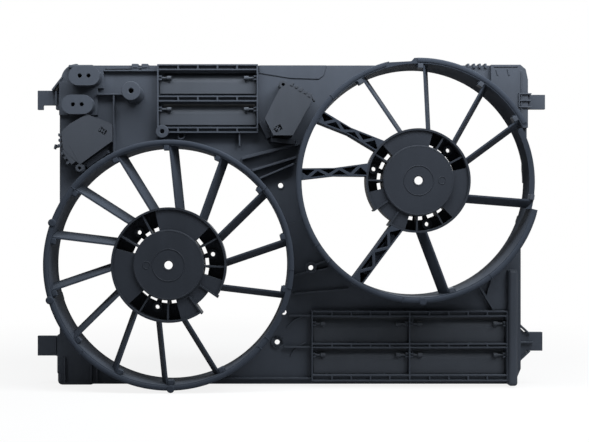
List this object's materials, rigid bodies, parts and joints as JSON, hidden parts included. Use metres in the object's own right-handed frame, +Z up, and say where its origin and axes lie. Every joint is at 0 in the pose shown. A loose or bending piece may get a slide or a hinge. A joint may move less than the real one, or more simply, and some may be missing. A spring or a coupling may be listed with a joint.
{
  "type": "radiator fan shroud",
  "caption": "Dual-fan radiator shroud: a moulded plate with two ring ducts, stator vanes, motor cups, side tabs and hinged relief flaps.",
  "frame": {"origin": "middle of the radiator seat plane, which is the rear edge of the skirt; x = 0 and z = 0 are the middle of the plate to within a few millimetres", "axes": "+X along the width, to the right as seen from the engine; +Y towards the radiator; +Z up"},
  "size_m": [0.678, 0.074, 0.4232],
  "materials": {
    "housing_plastic": "fine moulded texture, dark charcoal",
    "flap_plastic": "smooth moulded, dark charcoal",
    "cover_plastic": "fine grain, dark charcoal"
  },
  "bodies": {
    "shroud": {"upper_left_plate": "housing_plastic", "lower_plate": "housing_plastic", "lower_left_plate": "housing_plastic", "upper_right_plate": "housing_plastic", "edge_ridge": "housing_plastic", "left_fan_ring": "housing_plastic", "right_fan_ring": "housing_plastic", "left_motor_cup": "housing_plastic", "left_motor_flange": "housing_plastic", "right_motor_cup": "housing_plastic", "right_motor_flange": "housing_plastic", "left_vane_01": "housing_plastic", "left_vane_02": "housing_plastic", "left_vane_03": "housing_plastic", "left_vane_04": "housing_plastic", "left_vane_05": "housing_plastic", "left_vane_06": "housing_plastic", "left_vane_07": "housing_plastic", "left_vane_08": "housing_plastic", "left_vane_09": "housing_plastic", "left_vane_10": "housing_plastic", "left_vane_11": "housing_plastic", "left_vane_12": "housing_plastic", "left_vane_14": "housing_plastic", "right_vane_01": "housing_plastic", "right_vane_02": "housing_plastic", "right_vane_03": "housing_plastic", "right_vane_04": "housing_plastic", "right_vane_05": "housing_plastic", "right_vane_06": "housing_plastic", "right_truss_upper": "housing_plastic", "right_truss_middle": "housing_plastic", "right_truss_lower": "housing_plastic", "upper_flap_frame": "housing_plastic", "lower_flap_frame": "housing_plastic", "upper_oval_boss": "housing_plastic", "lower_oval_boss": "housing_plastic", "tall_round_boss": "housing_plastic", "short_round_boss": "housing_plastic", "left_module_tray": "housing_plastic", "left_module_cover": "cover_plastic", "right_module_tray": "housing_plastic", "right_module_cover": "cover_plastic", "upper_left_tab": "housing_plastic", "lower_left_tab": "housing_plastic", "upper_right_tab": "housing_plastic", "lower_right_tab": "housing_plastic"},
    "upper_top_door": {"upper_top_flap": "flap_plastic"},
    "upper_bottom_door": {"upper_bottom_flap": "flap_plastic"},
    "lower_top_left_door": {"lower_top_left_flap": "flap_plastic"},
    "lower_top_right_door": {"lower_top_right_flap": "flap_plastic"},
    "lower_bottom_left_door": {"lower_bottom_left_flap": "flap_plastic"},
    "lower_bottom_right_door": {"lower_bottom_right_flap": "flap_plastic"}
  },
  "joints": [
    {"name": "upper_top_flap_hinge", "type": "hinge", "parent": "shroud", "child": "upper_top_door", "pos_m": [-0.111, -0.0225, 0.194], "axis": [-1, 0, 0], "range_deg": [0, 75]},
    {"name": "upper_bottom_flap_hinge", "type": "hinge", "parent": "shroud", "child": "upper_bottom_door", "pos_m": [-0.111, -0.0225, 0.1526], "axis": [-1, 0, 0], "range_deg": [0, 75]},
    {"name": "lower_top_left_flap_hinge", "type": "hinge", "parent": "shroud", "child": "lower_top_left_door", "pos_m": [0.0912, -0.0225, -0.131], "axis": [-1, 0, 0], "range_deg": [0, 75]},
    {"name": "lower_top_right_flap_hinge", "type": "hinge", "parent": "shroud", "child": "lower_top_right_door", "pos_m": [0.2198, -0.0225, -0.131], "axis": [-1, 0, 0], "range_deg": [0, 75]},
    {"name": "lower_bottom_left_flap_hinge", "type": "hinge", "parent": "shroud", "child": "lower_bottom_left_door", "pos_m": [0.0912, -0.0225, -0.1724], "axis": [-1, 0, 0], "range_deg": [0, 75]},
    {"name": "lower_bottom_right_flap_hinge", "type": "hinge", "parent": "shroud", "child": "lower_bottom_right_door", "pos_m": [0.2198, -0.0225, -0.1724], "axis": [-1, 0, 0], "range_deg": [0, 75]}
  ]
}
